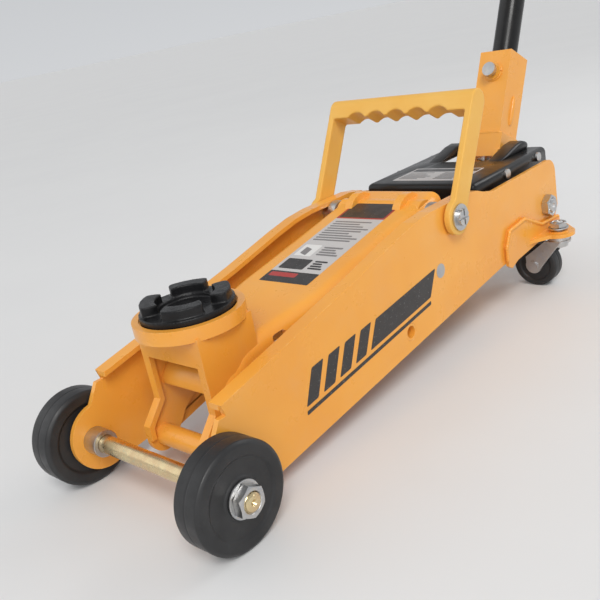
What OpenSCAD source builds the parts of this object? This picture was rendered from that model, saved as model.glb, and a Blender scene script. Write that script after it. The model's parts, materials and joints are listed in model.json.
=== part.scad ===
// Hydraulic floor jack: trolley with steel side plates, lift arm, levelled saddle and pump handle.
// +X is the saddle end, +Y the left side, +Z up. The origin is on the floor, at the middle of the whole jack.

/* [Frame] */
// Distance from the front axle back to the rear edge of the side plates
frame_len = 482; // [476:1:488]
// Distance between the two side plates
frame_gap = 131; // [129:0.5:132]
// Thickness of a side plate
plate_t = 4; // [3:0.5:4]
// Height of the top edge of the side plates, over the lift arm's pivot
crest_z = 131; // [130:0.5:132]

/* [Wheels] */
// Diameter of a front wheel
wheel_d = 72; // [70:1:74]
// Width of a front wheel
wheel_w = 23; // [20:1:24]
// Diameter of the front axle
axle_d = 13; // [12:1:14]
// Diameter of a castor wheel
castor_d = 44; // [42:1:44]

/* [Lift] */
// Distance from the front axle back to the lift arm's pivot
pivot_back = 292; // [290:1:294]
// Height of the lift arm's pivot
pivot_z = 118; // [117:1:119]
// Distance from the front axle back to the saddle's centre
saddle_back = 62; // [61:1:63]
// Height of the pin that joins the arm and the saddle bracket
head_z = 68; // [67:1:69]
// Lowest height of the saddle
low_z = 133; // [132:0.5:134]

/* [Handle] */
// Lean of the handle from the floor, in degrees
handle_lean = 62; // [60:1:64]
// Distance from the socket's pivot to the end of the grip
handle_reach = 700; // [600:10:800]
// Diameter of the handle tube
tube_d = 25.4; // [25:0.2:26]

/* [Hidden] */
$fn = 64;

yellow = [0.95, 0.62, 0.13];
zinc = [0.72, 0.72, 0.70];
brassy = [0.80, 0.72, 0.45];
black = [0.08, 0.08, 0.09];
grey = [0.45, 0.45, 0.46];

fit = 0.05;       // radial clearance of a running fit
gap = 0.5;        // clearance between plates that slide past each other
big = 1000;       // longer than the jack

wheel_r = wheel_d / 2;
axle_r = axle_d / 2;
castor_r = castor_d / 2;
grip_r = 16;
socket_back = 457;
tip_back = socket_back + handle_reach * cos(handle_lean) + grip_r * sin(handle_lean);
axle_x = (tip_back - wheel_r) / 2;
function px(back) = axle_x - back;   // place along X, measured back from the front axle

inner_y = frame_gap / 2;
outer_y = inner_y + plate_t;
wheel_y = outer_y + 1.5;             // inner face of a front wheel
wheel_out_y = wheel_y + wheel_w;

// The frame's outline: a lobe round the axle, a straight lower edge and a bowed top edge
lobe = [px(8), wheel_r];
lobe_r = 26;
lip_w = 12;
lip_t = 4;
cover_z = 120;                       // top edge of the side plates beside the cover
crest = [
    [px(18), 84], [px(72), 94.5], [px(160), 112], [px(215), crest_z - 6.5], [px(240), crest_z - 1.8],
    [px(262), crest_z], [px(318), crest_z - 0.5], [px(336), crest_z - 3.5]
];
rear_round = 14;

// Lift linkage, as [x, z]
pivot = [px(pivot_back), pivot_z];
head = [px(saddle_back), head_z];
rod_step = [26, -38];
rod_front = head + rod_step;
rod_rear = pivot + rod_step;
arm_slope = 10.2;                    // slope of the arm's top face
pivot_r = 8;
head_r = 6.5;
rod_pin_r = 6;
horn_len = 48;
half_swing = 34.6;
horn = pivot + horn_len * [-sin(half_swing), -cos(half_swing)];
horn_pin_r = 7.5;

arm_half = 48;
arm_t = 4;
neck_half = 29.5;
bracket_half = 34;
rod_y = 34.5 + gap / 2;
rod_t = 4.5;

// Power unit
unit_z = 76;
block_front = px(388);
block_rear = px(424);
block_half = 42;
block_low = 49;
tank_r = 26;
tank_front = px(350);
ram_r = 11;
spring_y = 33;
spring_r = 4.6;
pump_z = 58.7;
piston_r = 6;

// Handle socket
hub = [px(socket_back), 78];
roller_reach = 20;
roller_lag = 22.5;
roller_at = hub + roller_reach * [-sin(roller_lag), -cos(roller_lag)];
roller_r = 7;
tube_r = tube_d / 2;
tube_wall = 1.8;
tube_start = 52;
tube_joint = 360;
socket_end = 156;

// Universal joint between the handle's coupler and the valve screw
yoke_in = 4.5;
yoke_out = 6.5;
yoke_half = 2.5;
yoke_end = 2.2;                      // how far a yoke reaches past the joint's centre
yoke_top = 14;
cross_r = 1.6;
clamp_r = 5;

// Castors
stem = [px(446), 86];
ear_z = 56;
castor_trail = 24;
king_r = 5;

// Saddle bracket
cup_r = 40;
cup_z = 122;
saddle_r = 34;

module y_cyl(r, y0, y1, at) {
    translate([at[0], y0, at[1]])
        rotate([-90, 0, 0])
            cylinder(r = r, h = y1 - y0);
}

module x_cyl(r, x0, x1, y, z) {
    translate([x0, y, z])
        rotate([0, 90, 0])
            cylinder(r = r, h = x1 - x0);
}

// An outline in X and Z, thickened along Y
module y_plate(y0, y1) {
    translate([0, y1, 0])
        rotate([90, 0, 0])
            linear_extrude(y1 - y0)
                children();
}

// A hexagon across its flats, lying along Y
module y_hex(flats, y0, y1, at) {
    translate([at[0], y0, at[1]])
        rotate([-90, 0, 0])
            cylinder(r = flats / sqrt(3), h = y1 - y0, $fn = 6);
}

module on_right() {
    mirror([0, 1, 0])
        children();
}

module both_sides() {
    children();
    on_right()
        children();
}

// Along the handle: local +Z runs up the tube from the socket's pivot
module along_handle() {
    translate([hub[0], 0, hub[1]])
        rotate([0, handle_lean - 90, 0])
            children();
}

// ---- Frame ----

module plate_outline() {
    rear = px(frame_len);
    tail = [
        [px(345), cover_z + 4], [px(362), cover_z], [rear + rear_round, cover_z],
        [rear, cover_z - rear_round], [rear, 72], [rear + 10, 58], [px(440), 50], [px(366), 48],
        [lobe[0], lobe[1] - lobe_r], [lobe[0], lobe[1] + lobe_r], [px(4), 61], [px(14), 76],
        [px(20), 76]
    ];
    polygon(concat(crest, tail));
    translate(lobe)
        circle(r = lobe_r);
    translate([rear + rear_round, cover_z - rear_round])
        circle(r = rear_round);
}

module side_plate() {
    strip_low = [for (i = [len(crest) - 1:-1:0]) crest[i] - [0, lip_t]];
    color(yellow)
        difference() {
            union() {
                y_plate(inner_y, outer_y)
                    plate_outline();
                y_plate(outer_y - lip_w, inner_y + 1)
                    polygon(concat(crest, strip_low));
            }
            y_cyl(axle_r + fit, 0, big, [axle_x, wheel_r]);
            y_cyl(pivot_r + fit, 0, big, pivot);
            y_cyl(rod_pin_r + fit, 0, big, rod_rear);
            y_cyl(rod_pin_r + 1 + fit, 0, big, hub);
            y_cyl(7 + fit, 0, big, [px(215), 47]);
        }
}

module side_plate_left() {
    side_plate();
}

module side_plate_right() {
    on_right()
        side_plate();
}

// Cross plate under the power unit, with turned-up ends welded to the side plates
module unit_cradle() {
    color(yellow)
        difference() {
            union() {
                translate([px(436), -inner_y, block_low - 3])
                    cube([92, frame_gap, 3]);
                both_sides()
                    translate([px(436), inner_y - 3, block_low - 3])
                        cube([92, 3, 14]);
            }
            for (x = [396, 416], y = [-30, 30])
                translate([px(x), y, 0])
                    cylinder(r = 4 + fit, h = 80);
        }
}

module tie_tube() {
    color(yellow)
        difference() {
            y_cyl(7, -outer_y, outer_y, [px(215), 47]);
            y_cyl(5, -big, big, [px(215), 47]);
        }
}

// ---- Front axle and wheels ----

module front_axle() {
    end = wheel_out_y + 9;
    color(brassy)
        y_cyl(axle_r, -end, end, [axle_x, wheel_r]);
}

module axle_collars() {
    color(zinc)
        both_sides()
            difference() {
                y_cyl(10, inner_y - 14, inner_y, [axle_x, wheel_r]);
                y_cyl(axle_r + fit, 0, big, [axle_x, wheel_r]);
            }
}

module axle_washers() {
    color(zinc)
        both_sides()
            for (y = [outer_y, wheel_out_y])
                difference() {
                    y_cyl(12.5, y + 0.1, y + 1.4, [axle_x, wheel_r]);
                    y_cyl(axle_r + fit, 0, big, [axle_x, wheel_r]);
                }
}

module axle_nuts() {
    y = wheel_out_y + 1.5;
    color(zinc)
        both_sides()
            difference() {
                y_hex(19, y, y + 6.5, [axle_x, wheel_r]);
                y_cyl(axle_r, 0, big, [axle_x, wheel_r]);
            }
}

// Solid wheel, turned about its own axis: bevelled tread, shallow dish and a raised hub
module wheel_solid(r, w, bore_r, dish_r, hub_r, dish) {
    bevel = r * 0.06;
    rotate([-90, 0, 0])
        rotate_extrude()
            polygon([
                [bore_r, dish / 2], [hub_r, dish / 2], [hub_r + 1, dish], [dish_r, dish],
                [dish_r + 1.5, 0], [r - bevel, 0], [r, bevel], [r, w - bevel], [r - bevel, w],
                [dish_r + 1.5, w], [dish_r, w - dish], [hub_r + 1, w - dish], [hub_r, w - dish / 2],
                [bore_r, w - dish / 2]
            ]);
}

module front_wheel() {
    color(black)
        translate([axle_x, wheel_y, wheel_r])
            difference() {
                wheel_solid(wheel_r, wheel_w, axle_r + fit, wheel_r * 0.78, 13.5, 1.2);
                translate([0, wheel_w + 8.9, 0])
                    y_cyl(13, -10, 0, [0, 0]);
            }
}

module front_wheel_left() {
    front_wheel();
}

module front_wheel_right() {
    on_right()
        front_wheel();
}

// ---- Castors ----

module castor_bracket() {
    x0 = px(478);
    x1 = px(370);
    weld_y = outer_y;
    color(yellow)
        difference() {
            union() {
                y_plate(weld_y, weld_y + 3)
                    polygon([
                        [x0, ear_z - 3.5], [x0, 61], [px(470), 63], [px(440), 64.5], [px(408), 80],
                        [px(378), 78], [x1, 64], [x1, ear_z - 10], [px(376), ear_z - 14], [px(388), ear_z - 10]
                    ]);
                translate([x0, weld_y, ear_z - 3.5])
                    linear_extrude(3.5)
                        polygon([
                            [0, 0], [74, 0], [60, 6], [48, 14], [stem[0] - x0 + 10, stem[1] - weld_y + 11],
                            [stem[0] - x0 - 10, stem[1] - weld_y + 11], [6, 12]
                        ]);
                translate([stem[0], stem[1], ear_z - 3.5])
                    cylinder(r = 15, h = 3.5);
                translate([stem[0], stem[1], ear_z])
                    cylinder(r = 9, h = 1);
            }
            translate([stem[0], stem[1], 0])
                cylinder(r = king_r + fit, h = big);
        }
}

module castor_bracket_left() {
    castor_bracket();
}

module castor_bracket_right() {
    on_right()
        castor_bracket();
}

// Swivel fork: two legs under a crown, bored for the king bolt.
// At rest the fork trails inwards, so the wheel's axle lies along X.
module castor_fork() {
    crown = ear_z - 8;
    trail = stem[1] - castor_trail;
    leg_in = 8.5;
    leg_t = 2.5;
    color(zinc)
        difference() {
            union() {
                translate([stem[0], stem[1], crown - 2.5])
                    cylinder(r = leg_in + leg_t, h = 2.5);
                translate([stem[0], stem[1], crown])
                    cylinder(r = 10, h = ear_z - 4 - crown);
                for (x = [-leg_in - leg_t, leg_in])
                    translate([stem[0] + x, 0, 0])
                        difference() {
                            union() {
                                x_cyl(8, 0, leg_t, trail, castor_r);
                                translate([leg_t, 0, 0])
                                    rotate([90, 0, -90])
                                        linear_extrude(leg_t)
                                            polygon([
                                                [-trail + 7.4, castor_r - 3], [-trail - 7.4, castor_r - 3],
                                                [-stem[1] - 6, crown], [-stem[1] + 10, crown],
                                                [-trail + 7.4, castor_r + 9]
                                            ]);
                            }
                            x_cyl(3 + fit, -1, leg_t + 1, trail, castor_r);
                        }
            }
            translate([stem[0], trail, castor_r])
                rotate([0, 90, 0])
                    cylinder(r = castor_r + 1.3, h = 2 * leg_in, center = true);
            translate([stem[0], stem[1], 0])
                cylinder(r = king_r + fit, h = big);
        }
}

module castor_axle() {
    y = stem[1] - castor_trail;
    color(zinc) {
        x_cyl(3, stem[0] - 12.5, stem[0] + 12.5, y, castor_r);
        x_cyl(5, stem[0] + 11, stem[0] + 12.5, y, castor_r);
        x_cyl(5, stem[0] - 12.5, stem[0] - 11, y, castor_r);
    }
}

module castor_wheel() {
    w = 16;
    color(black)
        translate([stem[0] - w / 2, stem[1] - castor_trail, castor_r])
            rotate([0, 0, -90])
                wheel_solid(castor_r, w, 3 + fit, castor_r * 0.74, 7, 1);
}

module castor_fork_left() {
    castor_fork();
}

module castor_fork_right() {
    on_right()
        castor_fork();
}

module castor_axle_left() {
    castor_axle();
}

module castor_axle_right() {
    on_right()
        castor_axle();
}

module castor_wheel_left() {
    castor_wheel();
}

module castor_wheel_right() {
    on_right()
        castor_wheel();
}

// King bolts: the forks swivel on them, and their nuts clamp them to the brackets
module castor_bolts() {
    crown = ear_z - 8;
    color(zinc)
        both_sides()
            translate([stem[0], stem[1], 0]) {
                translate([0, 0, crown - 7.3])
                    cylinder(r = 8, h = 4.6);
                translate([0, 0, crown - 7])
                    cylinder(r = king_r, h = ear_z + 10 - crown + 7);
                translate([0, 0, ear_z + 1])
                    cylinder(r = 9.5, h = 1.4);
                translate([0, 0, ear_z + 2.4])
                    cylinder(r = 15 / sqrt(3), h = 5.6, $fn = 6);
            }
}

// ---- Lift arm and its linkage ----

module arm_pivot_shaft() {
    color(zinc)
        y_cyl(pivot_r, -outer_y, outer_y, pivot);
}

module arm_spacers() {
    color(zinc)
        both_sides()
            difference() {
                union() {
                    y_cyl(12, arm_half + gap, outer_y - lip_w - 0.3, pivot);
                    y_cyl(crest_z - lip_t - pivot_z - 0.2, arm_half + gap, inner_y - 0.2, pivot);
                }
                y_cyl(pivot_r + fit, 0, big, pivot);
            }
}

// Arm's own axes: origin at the pivot, +X along the top face towards the saddle
function to_arm(p) = [
    (p[0] - pivot[0]) * cos(arm_slope) - (p[1] - pivot[1]) * sin(arm_slope),
    (p[0] - pivot[0]) * sin(arm_slope) + (p[1] - pivot[1]) * cos(arm_slope)
];

// Cross-section of the pressed channel, with rounded shoulders
module channel_outline(half, top, r) {
    translate([-half + r, top - r])
        circle(r = r);
    translate([half - r, top - r])
        circle(r = r);
    translate([-half + r, top - r])
        square([2 * (half - r), r]);
    translate([-half, -60])
        square([2 * half, 60 + top - r]);
}

// Plan outline: full width at the pivot, drawn in to a neck at the saddle
module arm_plan(inset) {
    wide = arm_half - inset;
    neck = neck_half - inset;
    polygon([
        [-30, -wide], [150, -wide], [203, -neck], [300, -neck],
        [300, neck], [203, neck], [150, wide], [-30, wide]
    ]);
}

// Side view of the arm, in its own axes: round at the pivot and at the head pin
module arm_side() {
    nose = to_arm(head);
    y_plate(-60, 60)
        polygon([
            [-20, 13], [nose[0] - 17, 13], [nose[0] - 2, nose[1] + 15.8], [nose[0] + 1, nose[1] - 15.9],
            [1, -19.8], [-14, -14], [-20, 0]
        ]);
    y_cyl(20, -60, 60, [0, 0]);
    y_cyl(16, -60, 60, nose);
}

module lift_arm() {
    color(yellow)
        difference() {
            translate([pivot[0], 0, pivot[1]])
                rotate([0, arm_slope, 0])
                    difference() {
                        intersection() {
                            translate([-30, 0, 0])
                                rotate([90, 0, 90])
                                    linear_extrude(300)
                                        channel_outline(arm_half, 13, 11);
                            translate([0, 0, -60])
                                linear_extrude(100)
                                    arm_plan(0);
                            arm_side();
                        }
                        intersection() {
                            translate([-40, 0, 0])
                                rotate([90, 0, 90])
                                    linear_extrude(320)
                                        channel_outline(arm_half - arm_t, 13 - arm_t, 7);
                            translate([-20, 0, -60])
                                linear_extrude(100)
                                    union() {
                                        arm_plan(arm_t);
                                        translate([20, 0])
                                            arm_plan(arm_t);
                                    }
                        }
                        // tooling slot in each cheek
                        for (x = [186, 190])
                            y_cyl(3, -60, 60, [x, 2]);
                    }
            y_cyl(pivot_r + fit, -big, big, pivot);
            y_cyl(head_r + fit, -big, big, head);
        }
}

// Welded tube on the pivot, with the two horn plates that the ram pushes
module arm_hub() {
    color(yellow)
        difference() {
            union() {
                y_cyl(14, -arm_half + arm_t, arm_half - arm_t, pivot);
                both_sides() {
                    y_cyl(20, 22, 30, pivot);
                    y_cyl(13, 22, 30, horn);
                    y_plate(22, 30)
                        polygon([
                            pivot + [-17, -10], pivot + [12, -16], horn + [12, -6], horn + [-12, 5]
                        ]);
                }
            }
            y_cyl(pivot_r + fit, -big, big, pivot);
            y_cyl(horn_pin_r, -big, big, horn);
        }
}

module horn_pin() {
    color(zinc)
        y_cyl(horn_pin_r, -33, 33, horn);
}

module saddle_bracket() {
    wall_x = head[0] + 24;
    foot = rod_front;
    cheek_t = 4;
    color(yellow)
        difference() {
            union() {
                both_sides()
                    y_plate(bracket_half - cheek_t, bracket_half) {
                        polygon([
                            [wall_x, cup_z - 9], [wall_x, 58], [foot[0] + 13, 42], [foot[0] + 13, foot[1]],
                            [foot[0] - 8, foot[1] - 10], [head[0] + 2, 40], [head[0] - 23, 56],
                            [head[0] - 26, 96], [head[0] - 26, cup_z - 9]
                        ]);
                        translate(foot)
                            circle(r = 13);
                    }
                // front wall, folded between the cheeks
                y_plate(-bracket_half, bracket_half)
                    polygon([
                        [wall_x, cup_z - 9], [wall_x, 58], [foot[0] + 13, 42], [foot[0] + 13, 31],
                        [foot[0] + 9, 31], [foot[0] + 9, 40], [wall_x - 4, 56], [wall_x - 4, cup_z - 9]
                    ]);
                translate([head[0] - 26, -bracket_half, cup_z - 13])
                    cube([50, 2 * bracket_half, 5]);
                translate([head[0], 0, cup_z - 10])
                    cylinder(r = cup_r, h = 10);
                translate([head[0], 0, cup_z - 18])
                    cylinder(r = 20, h = 9);
            }
            // window in the front wall
            translate([wall_x - 20, -27, 0])
                cube([60, 54, 92]);
            // socket for the saddle
            translate([head[0], 0, cup_z - 2])
                cylinder(r = saddle_r + 1, h = 5);
            translate([head[0], 0, 0])
                cylinder(r = 10 + fit, h = big);
            y_cyl(head_r + fit, -big, big, head);
            y_cyl(rod_pin_r + fit, -big, big, foot);
        }
}

module head_pin() {
    color(yellow)
        y_cyl(head_r, -bracket_half - 1, bracket_half + 1, head);
}

// Pin of the radius rods, with the spacer tube between the bracket's cheeks
module rod_front_pin() {
    end = rod_y + rod_t + 2;
    color(yellow) {
        y_cyl(rod_pin_r, -end, end, rod_front);
        y_cyl(8, -bracket_half + 4, bracket_half - 4, rod_front);
        both_sides()
            y_cyl(8, rod_y + rod_t + 0.3, end, rod_front);
    }
}

// Cast saddle: a disc with a stem and four curved lugs round its rim
module saddle() {
    lug_turn = 45;
    translate([head[0], 0, cup_z])
        color(black)
            difference() {
                union() {
                    translate([0, 0, -1.7])
                        cylinder(r = saddle_r, h = 5.7);
                    translate([0, 0, -22])
                        cylinder(r = 10, h = 22);
                    intersection() {
                        difference() {
                            cylinder(r = saddle_r - 2, h = low_z - cup_z);
                            translate([0, 0, -1])
                                cylinder(r = saddle_r - 13, h = 20);
                        }
                        for (i = [0:3])
                            rotate([0, 0, lug_turn + 90 * i])
                                translate([saddle_r - 8, 0, 0])
                                    cylinder(r = 14, h = 20);
                    }
                }
                translate([0, 0, 1])
                    cylinder(r = saddle_r - 14, h = 20);
            }
}

module radius_rod() {
    run = rod_front - rod_rear;
    span = norm(run);
    tilt = atan2(run[1], run[0]);
    color(yellow)
        difference() {
            y_plate(rod_y, rod_y + rod_t) {
                translate(rod_front)
                    circle(r = 9);
                translate(rod_rear) {
                    circle(r = 9);
                    rotate(tilt)
                        translate([0, -7.5])
                            square([span, 15]);
                }
            }
            y_cyl(rod_pin_r + 0.3, -big, big, rod_front);
            y_cyl(rod_pin_r + fit, -big, big, rod_rear);
        }
}

module radius_rod_left() {
    radius_rod();
}

module radius_rod_right() {
    on_right()
        radius_rod();
}

module rod_rear_pins() {
    color(zinc)
        both_sides() {
            y_cyl(rod_pin_r, rod_y - 1, outer_y, rod_rear);
            y_cyl(8.5, rod_y + rod_t + 0.3, arm_half - arm_t - 0.5, rod_rear);
        }
}

// ---- Power unit ----

module unit_base() {
    color(grey)
        difference() {
            union() {
                translate([block_rear, -block_half, block_low])
                    cube([block_front - block_rear, 2 * block_half, 20]);
                translate([block_rear, -28, block_low])
                    cube([block_front - block_rear, 56, 57]);
            }
            x_cyl(14, block_front - 22, block_front + 1, 0, unit_z);
            x_cyl(piston_r + fit, block_rear - 1, block_rear + 13.7, 0, pump_z);
            x_cyl(4 + fit, block_rear - 1, block_rear + 10, 0, hub[1]);
            for (x = [396, 416], y = [-30, 30])
                translate([px(x), y, 0])
                    cylinder(r = 3.4, h = block_low + 14);
            both_sides()
                translate([px(406), block_half - 8, block_low + 10])
                    rotate([-90, 0, 0])
                        cylinder(r = 4, h = 20);
            translate([px(406), 0, block_low + 50])
                cylinder(r = 5, h = 20);
        }
}

module unit_bolts() {
    color(zinc)
        for (x = [396, 416], y = [-30, 30])
            translate([px(x), y, block_low - 3]) {
                translate([0, 0, -4.5])
                    cylinder(r = 11 / sqrt(3), h = 4.5, $fn = 6);
                cylinder(r = 3.4, h = 15);
            }
}

module reservoir() {
    color(grey)
        difference() {
            x_cyl(tank_r, block_front, tank_front, 0, unit_z);
            x_cyl(tank_r - 2.5, block_front - 1, tank_front + 1, 0, unit_z);
        }
}

module ram_cylinder() {
    color(zinc)
        difference() {
            x_cyl(14, block_front - 22, tank_front - 0.2, 0, unit_z);
            x_cyl(ram_r + fit, block_front - 20, tank_front + 10, 0, unit_z);
        }
}

module tank_nut() {
    color(grey)
        difference() {
            translate([tank_front + 0.02, 0, unit_z])
                rotate([0, 90, 0])
                    rotate(30)
                        cylinder(r = 50 / sqrt(3), h = 8, $fn = 6);
            x_cyl(ram_r + fit, tank_front - 10, tank_front + 20, 0, unit_z);
        }
}

module filler_plug() {
    color(black)
        translate([px(406), 0, block_low + 50]) {
            cylinder(r = 5, h = 7);
            translate([0, 0, 7])
                cylinder(r = 8, h = 4);
        }
}

module ram() {
    color(zinc)
        x_cyl(ram_r, block_front - 18, horn[0] - 13, 0, unit_z);
}

// Block on the ram's end; the horn's pin works in its short upright slot
module ram_yoke() {
    slot_r = horn_pin_r + 0.9;
    color(zinc)
        difference() {
            translate([horn[0] - 13, -20, unit_z - 17])
                cube([27, 40, 32]);
            for (z = [horn[1] - 9, horn[1] + 0.4])
                y_cyl(slot_r, -30, 30, [horn[0], z]);
            translate([horn[0] - slot_r, -30, horn[1] - 9])
                cube([2 * slot_r, 60, 9.4]);
        }
}

module return_spring() {
    color(zinc)
        difference() {
            x_cyl(spring_r, px(404), horn[0] - 9, spring_y + 2.5, unit_z + 2.5);
            x_cyl(spring_r - 1.3, px(405), horn[0], spring_y + 2.5, unit_z + 2.5);
        }
}

module return_spring_left() {
    return_spring();
}

module return_spring_right() {
    on_right()
        return_spring();
}

module spring_studs() {
    color(zinc)
        both_sides() {
            translate([px(406), block_half - 6, block_low + 10])
                rotate([-90, 0, 0])
                    cylinder(r = 4, h = 14);
            translate([px(406), block_half + 4.5, block_low + 10])
                cylinder(r = 2.6, h = 20);
        }
}

module pump_gland() {
    color(zinc)
        difference() {
            translate([block_rear - 8, 0, pump_z])
                rotate([0, 90, 0])
                    cylinder(r = 17 / sqrt(3), h = 8, $fn = 6);
            x_cyl(piston_r + fit, block_rear - 10, block_rear + 1, 0, pump_z);
        }
}

module pump_piston() {
    rear = roller_at[0] + roller_r + 0.3;
    color(zinc) {
        x_cyl(piston_r, rear, block_rear - 2, 0, pump_z);
        x_cyl(piston_r + 2.4, rear, rear + 3, 0, pump_z);
    }
}

module pump_spring() {
    rear = roller_at[0] + roller_r + 3.5;
    color(zinc)
        difference() {
            x_cyl(piston_r + 2.2, rear, block_rear - 8.2, 0, pump_z);
            x_cyl(piston_r + 0.8, rear - 1, block_rear, 0, pump_z);
        }
}

// Valve screw, with the yoke of the universal joint on its end
module release_valve() {
    yoke_rear = hub[0] + 10;
    color(zinc) {
        x_cyl(4, yoke_rear, block_rear + 9, 0, hub[1]);
        x_cyl(7, yoke_rear, block_rear - 10, 0, hub[1]);
        both_sides() {
            translate([hub[0] - yoke_end, yoke_in, hub[1] - yoke_half])
                cube([yoke_rear + 2 - hub[0] + yoke_end, yoke_out - yoke_in, 2 * yoke_half]);
            y_cyl(cross_r, yoke_in + 1, yoke_out + 0.6, hub);
        }
    }
}

// ---- Handle socket ----

module handle_socket() {
    cheek_in = 16;
    cheek_out = 21;
    color(yellow)
        difference() {
            union() {
                both_sides() {
                    y_cyl(15, cheek_in, cheek_out, hub);
                    y_cyl(9, cheek_in, cheek_out, roller_at);
                    y_plate(cheek_in, cheek_out)
                        polygon([
                            hub + [14, 3], hub + [6, 40], hub + [-4, 56], hub + [-38, 50],
                            hub + [-24, 18], hub + [-15, 2]
                        ]);
                    y_plate(cheek_in, cheek_out)
                        polygon([hub + [-14, 0], hub + [14, 0], roller_at + [9, 0], roller_at + [-9, 0]]);
                }
                along_handle()
                    translate([-19, -cheek_out, 46])
                        cube([38, 2 * cheek_out, 24]);
                along_handle()
                    translate([-17.5, -17.5, 46])
                        cube([35, 35, socket_end - 46]);
                along_handle()
                    translate([0, 0, socket_end - 22])
                        rotate([0, 90, 0])
                            cylinder(r = 9, h = 20);
            }
            along_handle()
                translate([0, 0, 30])
                    cylinder(r = tube_r + fit, h = 200);
            along_handle()
                translate([0, 0, socket_end - 22])
                    rotate([0, 90, 0])
                        cylinder(r = clamp_r + fit, h = 40);
            y_cyl(7 + fit, -30, 30, hub);
            y_cyl(3 + fit, -30, 30, roller_at);
        }
}

module pivot_bolts() {
    color(zinc)
        both_sides()
            y_cyl(7, 16, outer_y + 8, hub);
}

module pivot_nuts() {
    color(zinc)
        both_sides()
            difference() {
                y_hex(19, outer_y, outer_y + 7, hub);
                y_cyl(7, 0, big, hub);
            }
}

module pivot_spacers() {
    color(zinc)
        both_sides()
            difference() {
                y_cyl(10, 21 + gap, inner_y - 0.2, hub);
                y_cyl(7, 0, big, hub);
            }
}

module pump_roller() {
    color(zinc) {
        difference() {
            y_cyl(roller_r, -9, 9, roller_at);
            y_cyl(3, -30, 30, roller_at);
        }
        y_cyl(3, -22, 22, roller_at);
    }
}

// Coupler under the tube's end, with the other yoke of the universal joint
module handle_coupler() {
    color(zinc) {
        along_handle() {
            for (x = [-yoke_out, yoke_in])
                translate([x, -yoke_half, -yoke_end])
                    cube([yoke_out - yoke_in, 2 * yoke_half, yoke_top + 1 + yoke_end]);
            translate([0, 0, yoke_top])
                cylinder(r = 8, h = 4);
            translate([0, 0, yoke_top])
                cylinder(r = 5, h = tube_start - yoke_top - 1);
            translate([0, 0, tube_start - 5])
                cylinder(r = tube_r - 0.4, h = 4.8);
            translate([0, 0, tube_start - 1])
                cylinder(r = tube_r - tube_wall - 0.3, h = 14);
            // cross of the joint
            rotate([0, 90, 0])
                cylinder(r = cross_r, h = 2 * yoke_out + 1, center = true);
            rotate([90, 0, 0])
                cylinder(r = cross_r, h = 8, center = true);
            cube(5, center = true);
        }
    }
}

module clamp_screw() {
    color(zinc)
        along_handle()
            translate([0, 0, socket_end - 22])
                rotate([0, 90, 0]) {
                    translate([0, 0, tube_r + 0.4])
                        cylinder(r = clamp_r, h = 13);
                    translate([0, 0, tube_r + 11])
                        cylinder(r = 7, h = 4);
                }
}

module tube_length(r, wall, from, to) {
    along_handle()
        translate([0, 0, from])
            difference() {
                cylinder(r = r, h = to - from);
                translate([0, 0, -1])
                    cylinder(r = r - wall, h = to - from + 2);
            }
}

module lower_tube() {
    color(black)
        tube_length(tube_r, tube_wall, tube_start, tube_joint);
}

// Upper tube, with a narrow spigot that plugs into the lower one
module upper_tube() {
    color(black) {
        tube_length(tube_r, tube_wall, tube_joint + 8, handle_reach - 3);
        tube_length(tube_r, 2 * tube_wall, tube_joint + 0.2, tube_joint + 8);
        tube_length(tube_r - tube_wall - fit, tube_wall, tube_joint - 40, tube_joint + 1);
    }
}

module hand_grip() {
    color(black)
        along_handle()
            translate([0, 0, handle_reach])
                difference() {
                    rotate([180, 0, 0])
                        union() {
                            cylinder(r = grip_r, h = 3);
                            cylinder(r = grip_r - 1, h = 124);
                            for (i = [0:5])
                                translate([0, 0, 8 + 19 * i])
                                    cylinder(r = grip_r, h = 13);
                        }
                    translate([0, 0, -130])
                        cylinder(r = tube_r, h = 127);
                }
}

// ---- Cover and carry handle ----

// Sheet tray over the power unit, slotted at the rear for the handle socket
module unit_cover() {
    half = 60;
    top = 130;
    skirt = 16;
    t = 1.5;
    x0 = px(484);
    x1 = px(346);
    slot = 25;
    slot_x = px(430);
    color(black) {
        difference() {
            translate([x0, -half, top - skirt])
                cube([x1 - x0, 2 * half, skirt]);
            translate([x0 - 1, -half + t, top - skirt - 1])
                cube([x1 - x0 + 1 - t, 2 * (half - t), skirt + 1 - t]);
            translate([x0 - 1, -slot, top - 20])
                cube([slot_x - x0 + 1, 2 * slot, 30]);
            for (x = [404, 466])
                y_cyl(2.6, -big, big, [px(x), top - 6]);
        }
        // raised lips beside the slot
        both_sides()
            translate([0, slot, 0])
                y_plate(0, 18)
                    polygon([
                        [px(424), top - t], [x0, top - t], [x0, top + 6], [px(474), top + 9], [px(462), top + 8]
                    ]);
    }
}

module cover_screws() {
    color(zinc)
        both_sides()
            for (x = [404, 466]) {
                y_cyl(2.6, 52, 61, [px(x), 124]);
                y_cyl(4.5, 60, 62, [px(x), 124]);
                translate([px(x) - 6, 50, 106])
                    cube([12, 4, 22]);
                translate([px(x) - 6, 50, 104])
                    cube([12, inner_y - 50, 3]);
            }
}

// Moulded bail, leaning back over the cover
module carry_handle() {
    leg_in = outer_y + 1.2;
    leg_out = leg_in + 6;
    lean = 30;
    rise = 100;
    color(yellow)
        translate([pivot[0], 0, pivot[1]])
            rotate([0, -lean, 0])
                difference() {
                    union() {
                        both_sides() {
                            y_cyl(15, leg_in, leg_out, [0, 0]);
                            translate([-10, leg_in, 0])
                                cube([20, leg_out - leg_in, rise]);
                        }
                        y_cyl(10, -leg_out, leg_out, [0, rise - 2]);
                        translate([-10, -leg_out, rise - 12])
                            cube([20, 2 * leg_out, 10]);
                    }
                    // finger waves
                    for (i = [-2:2])
                        translate([0, i * 22, rise - 20])
                            rotate([0, 90, 0])
                                cylinder(r = 12.5, h = 60, center = true);
                    y_cyl(4 + fit, -big, big, [0, 0]);
                }
}

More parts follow.
